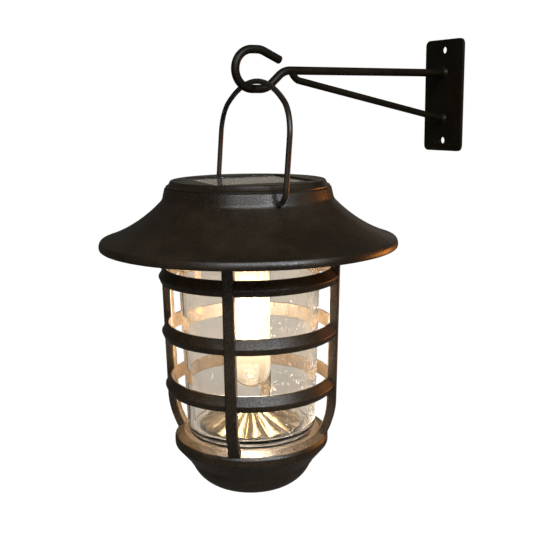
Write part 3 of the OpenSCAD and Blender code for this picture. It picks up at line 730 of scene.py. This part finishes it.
def bail_handle():
    """Bent wire: an arch on two straight legs, whose feet turn in through the hat's neck."""
    leg_r, arch_side_r, bail_top, arch_rise, pivot_depth, foot_bend = 60.5, 22, 57.5, 31.5, 10, 9
    wire_r, lean = 1.6, math.radians(4.5)
    side_x = leg_r - arch_side_r
    drop = (side_x ** 2 - (arch_rise - arch_side_r) ** 2) / (2 * (arch_rise - arch_side_r))
    crown_angle = math.degrees(math.atan2(drop, side_x))
    spring_h = bail_top - arch_rise
    half = [(NECK_BORE_R, -pivot_depth)]
    half += arc((leg_r - foot_bend, foot_bend - pivot_depth), foot_bend, 270, 360, 8)
    half += arc((side_x, spring_h), arch_side_r, 0, crown_angle, 16)
    half += arc((0, spring_h - drop), arch_rise + drop, crown_angle, 90, 14)[1:]
    path = [(x, 0, z) for x, z in half] + [(-x, 0, z) for x, z in reversed(half[:-1])]
    pivot = Matrix.Translation((0, 0, -pivot_depth))
    tilt = pivot @ Matrix.Rotation(-lean, 4, "X") @ pivot.inverted()
    mesh = sweep_mesh("bail_handle_skin", path, circle(wire_r, 24), (0, 1, 0))
    make("bail_handle_skin", mesh, "bail_handle", LANTERN @ tilt)


# ---------------------------------------------------------------- hat and cap

def canopy():
    """Flared hat: a neck, a hollow curve that gets flatter outwards, and a rolled lip."""
    neck_top, neck, neck_depth, neck_edge, soften = 50.1, 51.6, 11.4, 0.7, 1.4
    shell, shelf, lip, lip_inset, lip_rise = 1.6, 1.8, 2.6, 1.2, 0.7
    curve_r, steep, flat = 86, math.radians(47), math.radians(18)
    top = reach_of("canopy")[2]

    # neck, down to a softened corner
    outline = [(NECK_BORE_R, top)] + arc((neck_top - neck_edge, top - neck_edge), neck_edge, 90, 5, 5)
    corner = Vector((neck, -neck_depth))
    wall = (Vector((neck_top, top - neck_edge)) - corner).normalized()
    centre = (neck + curve_r * math.sin(steep), -neck_depth + curve_r * math.cos(steep))
    curve_start, curve_end = -90 - math.degrees(steep - soften / curve_r), -90 - math.degrees(flat)
    curve = arc(centre, curve_r, curve_start, curve_end, 40)
    outline += [tuple(p) for p in bend(corner + soften * wall, corner, Vector(curve[0]), 6)]
    outline += curve[1:]

    # lip: tight over its top edge, broad at the front and tight again underneath
    tight, broad, upper, lower, straight = 1.0, 5.0, 35, -10, 0.4
    end = Vector(outline[-1]) + straight * Vector((math.cos(flat), -math.sin(flat)))
    turns = ((tight, 90 - math.degrees(flat), upper, 5), (broad, upper, lower, 12), (tight, lower, -90, 8))
    for radius, start, stop, steps in turns:
        out = math.radians(start)
        outline += arc(end - radius * Vector((math.cos(out), math.sin(out))), radius, start, stop, steps)
        end = Vector(outline[-1])

    # back up the inside
    lip_x = centre[0] - (curve_r + lip) * math.sin(flat)
    lip_z = centre[1] - (curve_r + lip) * math.cos(flat)
    outline += [(lip_x - lip_inset, lip_z - lip + lip_rise)]
    outline += arc(centre, curve_r + shell, curve_end, -90 - math.degrees(steep), 30)
    outline += [(neck_top - shelf, top - shelf), (NECK_BORE_R, top - shelf)]
    make("canopy_skin", lathe_mesh("canopy_skin", outline, 256), "canopy", LANTERN)


def top_cap():
    """Cap with a flange, a plug that fits the neck, and a square recess for the panel."""
    flat_r, edge, step_r, step_z, flange_r, flange_z = 46.8, 1.1, 48.2, -3.0, 49.2, -3.9
    plug_r, plug_wall, plug_z, floor_z = 47.2, 1.8, -8, -5.4
    side, depth, chamfer, chamfer_depth, lead_hole_r = 62.0, 3.0, 0.5, 0.35, 2.5
    outline = [(0, 0), (flat_r - edge, 0)] + arc((flat_r - edge, -edge), edge, 80, 30, 5)
    outline += [(step_r - 0.45, step_z + 0.3), (step_r, step_z)]
    outline += [(flange_r - 0.3, step_z - 0.15), (flange_r, step_z - 0.4), (flange_r, flange_z)]
    outline += [(plug_r, flange_z), (plug_r, plug_z), (plug_r - plug_wall, plug_z)]
    outline += [(plug_r - plug_wall, floor_z), (0, floor_z)]
    recess = slab(rectangle(side, side, 0.8), -depth, 1)
    slope = slab(rectangle(side + 2 * chamfer, side + 2 * chamfer, 1.2), -chamfer_depth, 1)
    lead_hole = slab(circle(lead_hole_r, 32), floor_z - 1.6, 1)
    make("top_cap_skin", cut(lathe_mesh("cap", outline, 256), recess, slope, lead_hole), "top_cap", CAP)


# ---------------------------------------------------------------- lamp

def bulb():
    """Thin glass tube with a narrower neck and a round tip."""
    neck, top, wall = 10.5, -46, 0.8
    radius, tip, _ = reach_of("bulb_envelope")

    def outline(inset):
        neck_r, tube_r = neck - inset, radius - inset
        points = [(neck_r, top), (neck_r, top - 2), (neck_r + 0.5, top - 4), (tube_r - 0.4, top - 7)]
        points += [(tube_r, top - 10)] + arc((0, tip + radius), tube_r, 0, -90, 24)[:-1]
        return points + [(0, tip + inset)]

    shell = outline(0) + list(reversed(outline(wall)))
    make("bulb_envelope_skin", lathe_mesh("bulb", shell, 96), "bulb_envelope", LANTERN)


def filaments():
    """Upright filaments with round ends, spaced round the stem."""
    low, high, from_axis, radius, count, first = -107, -69, 5, 0.9, 4, 20
    path = [(from_axis, 0, low + radius), (from_axis, 0, high - radius)]
    one = sweep_mesh("filament", path, circle(radius, 16), (0, 1, 0), radius)
    mesh = joined("filaments", around(one, count, first))
    lit = make("led_filaments_skin", mesh, "led_filaments", LANTERN)
    bpy.data.objects["bulb_light"].parent = lit     # so that the light moves with the lamp


# ---------------------------------------------------------------- cage

def cage_ring(node):
    """Flat ring whose outer face leans out to an edge and slopes back in above it."""
    radius, foot, top = reach_of(node)
    inner, edge_z = radius - 4.6, foot + 3.9
    outline = rounded([
        (inner, foot, 0.5), (radius - 1.5, foot + 0.1, 0.7), (radius, edge_z, 0.9),
        (radius - 3.5, top, 0.8), (inner, top, 0.5)])
    make(node + "_skin", lathe_mesh(node, outline, 224), node, CAGE)


def cage_bars():
    """Flat bars that curve in to the tray and spread a little at their feet."""
    top_r, top_z, bend_r, bend_z, curve, thick, width = 55.8, -40.5, 53.5, -134, 48, 5.4, 6.6
    foot, spread, spread_height = -158.2, 1.2, 7
    inner_edge, outer_edge = 0.7, 1.1
    middle = curve - thick / 2
    end = math.degrees(math.asin((foot - bend_z) / middle))
    steps = 6
    straight = [(top_r - thick / 2 + (bend_r - top_r) * k / steps, top_z + (bend_z - top_z) * k / steps)
                for k in range(steps)]
    path = [(r, 0, z) for r, z in straight + arc((bend_r - curve, bend_z), middle, 0, end, 24)]
    corners = [(sx * thick / 2, sy * width / 2, outer_edge if sx > 0 else inner_edge) for sx, sy in CORNERS]
    one = sweep_mesh("bar", path, held(rounded(corners), near=0.2, least=1.5), (0, 1, 0))
    for vertex in one.vertices:
        vertex.co.y *= 1 + spread / width * max(0, 1 - (vertex.co.z - foot) / spread_height) ** 2
    make("cage_bars_skin", joined("bars", around(one, 4)), "cage_bars", CAGE)


def cage_collar():
    """Band at the top of the cage, which fits up into the hat."""
    outer, foot, top = reach_of("cage_collar")
    inner = 50.1
    outline = rounded([(inner, foot, 0.4), (outer, foot, 0.8), (outer, top, 0.9), (inner, top, 0.4)])
    make("cage_collar_skin", lathe_mesh("collar", outline, 224), "cage_collar", CAGE)


def cage_tray():
    """Tray that the glass stands on: a hollow skirt below, and a post for the bowl's screw."""
    outer, foot, platform = reach_of("cage_tray")
    platform_r, rim, side_foot, skirt_z = 42, -157.4, -163.2, -173.4
    post_r, post_foot = 4, -170
    top_side = [(platform_r, platform, 1.5), (outer - 1.0, rim, 0.7), (outer, rim - 1.6, 0.8)]
    skirt = [(outer, side_foot, 1.6), (39.4, skirt_z, 1.2), (38.9, foot, 0.3), (36.8, foot, 0.2)]
    inside = [(37.2, skirt_z + 0.2, 0.5), (44.6, -164, 1.0), (44.6, -161.8, 0.5), (38.8, -160.6, 0.4)]
    under = [(38.4, rim, 0.3), (post_r, rim, 0.3), (post_r, post_foot, 0.3)]
    outline = [(0, platform)] + rounded(top_side + skirt + inside + under) + [(0, post_foot)]
    make("cage_tray_skin", lathe_mesh("tray", outline, 256), "cage_tray", CAGE)


def base_bowl():
    """Bowl with a flat foot, a counterbored screw hole up through its boss, and a spigot on top."""
    _, foot, top = reach_of("base_bowl")
    centre, wall = (17, -168.3), 2
    radius = centre[1] - foot
    hole_r, head_r, head_depth, boss_r, boss_top = 1.6, 3.6, 2.4, 5, foot + 18.5
    spigot_r, spigot_wall = 36.4, 1.6
    outline = [(hole_r, foot + head_depth), (head_r, foot + head_depth), (head_r, foot)]
    outline += arc(centre, radius, -90, -17, 36)
    outline += [(spigot_r + 0.2, centre[1] - 6.5), (spigot_r, top), (spigot_r - spigot_wall, top)]
    outline += arc(centre, radius - wall, -24, -90, 24)
    outline += [(boss_r, foot + wall), (boss_r, boss_top), (hole_r, boss_top)]
    make("base_bowl_skin", lathe_mesh("bowl", outline, 224), "base_bowl", CAGE)


# ---------------------------------------------------------------- glass and reflector

GLASS_FOOT_R = 39.9
GLASS_WALL = 3.4


def glass_cylinder():
    """Tapered glass cup with a thick foot and a rounded lip."""
    outer, foot, top = reach_of("glass_cylinder")
    heel, lip, fillet, floor = 3, 0.9, 1.6, foot + 2.8
    outline = [(0, foot)] + arc((GLASS_FOOT_R - heel, foot + heel), heel, -90, 0, 10)
    outline += arc((outer - lip, top - lip), lip, 0, 90, 5)
    outline += arc((outer - GLASS_WALL + lip, top - lip), lip, 90, 180, 5)
    outline += arc((GLASS_FOOT_R - GLASS_WALL - fillet, floor + fillet), fillet, 0, -90, 8) + [(0, floor)]
    make("glass_cylinder_skin", lathe_mesh("glass", outline, 256), "glass_cylinder", LANTERN)


def glass_beads():
    """Small seeds in the wall of the glass and beads on it, thicker to one side and towards the foot."""
    outer, foot, top = reach_of("glass_cylinder")
    count, smallest, larger, clear_foot, clear_top = 2200, 0.13, 0.24, 6, 12
    chance = random.Random(7)
    thick_side = math.atan2(RIGHT.y, RIGHT.x) - BAIL_YAW - 0.25
    ball = bmesh.new()
    bmesh.ops.create_icosphere(ball, subdivisions=2, radius=1.0)
    points = [vertex.co.copy() for vertex in ball.verts]
    corners = [tuple(vertex.index for vertex in face.verts) for face in ball.faces]
    ball.free()
    verts, faces = [], []
    for i in range(count):
        crowded = i % 3 > 0         # two in three keep to the thick side and the foot
        seed = i % 4 == 0           # one in four is a bubble inside the wall
        share = chance.random() ** (1.5 if crowded else 0.9)
        height = foot + clear_foot + (top - foot - clear_foot - clear_top) * share
        turn = thick_side + chance.gauss(0, 0.55 if crowded else 1.6)
        surface = GLASS_FOOT_R + (outer - GLASS_FOOT_R) * (height - foot) / (top - foot)
        size = smallest + larger * chance.random() ** 4
        length = size * chance.uniform(1.0, 1.5)
        r, depth = (surface - GLASS_WALL / 2, size) if seed else (surface - 0.02, size * 0.5)
        shape = Matrix.Diagonal((depth, size, length, 1))
        place = Matrix.Rotation(turn, 4, "Z") @ Matrix.Translation((r, 0, height)) @ shape
        start = len(verts)
        verts += [place @ point for point in points]
        faces += [tuple(start + k for k in (reversed(face) if seed else face)) for face in corners]
    mesh = drawn("glass_beads", verts, faces)
    mesh.transform(LANTERN)
    mesh.shade_smooth()
    mesh.materials.append(MATERIALS["glass_bead"])
    beads = bpy.data.objects.new("glass_beads", mesh)
    beads.visible_shadow = False
    bpy.context.scene.collection.objects.link(beads)
    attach(beads, "cage")


def reflector():
    """A fluted cone: the flutes deepen towards the rim."""
    rim_r, foot, apex = reach_of("reflector")
    apex_r, rim = 0.4, foot + 0.8
    flutes, depth, thick, rounds = 14, 2.4, 1.3, 30
    steps = 24 * flutes
    upper, lower = [], []
    for i in range(rounds + 1):
        share = i / rounds
        r = apex_r + (rim_r - apex_r) * share
        slope = apex + (rim - apex) * (0.25 * share ** 0.6 + 0.75 * share)
        wall = thick * min(1, share * 6)        # thins out to nothing at the apex
        for k in range(steps):
            angle = 2 * math.pi * k / steps
            crest = abs(math.sin(flutes * angle / 2))
            z = slope - depth * share ** 0.8 * (1 - crest) * (1 - 0.5 * share ** 6)
            upper.append((r * math.cos(angle), r * math.sin(angle), z))
            lower.append((r * math.cos(angle), r * math.sin(angle), z - wall))
    count = len(upper)
    inward = [tuple(reversed(face)) for face in grid(rounds, steps, start=count)]
    edge = [(a, b, b + count, a + count) for a, b, _, _ in grid(1, steps, start=rounds * steps)]
    ends = [tuple(reversed(range(steps))), tuple(count + k for k in range(steps))]
    mesh = drawn("reflector", upper + lower, grid(rounds, steps) + inward + edge + ends)
    make("reflector_skin", mesh, "reflector", LANTERN, sharp=60)


# ---------------------------------------------------------------- build

camera()
lights()
surroundings()
finish_cad_nodes()
wall_plate()
hook_arm()
brace_rod()
bail_handle()
canopy()
top_cap()
bulb()
filaments()
cage_collar()
for ring in ("upper_ring", "middle_ring", "lower_ring"):
    cage_ring(ring)
cage_bars()
cage_tray()
base_bowl()
glass_cylinder()
glass_beads()
reflector()
for clear in ("glass_cylinder_skin", "bulb_envelope_skin"):
    bpy.data.objects[clear].visible_shadow = False
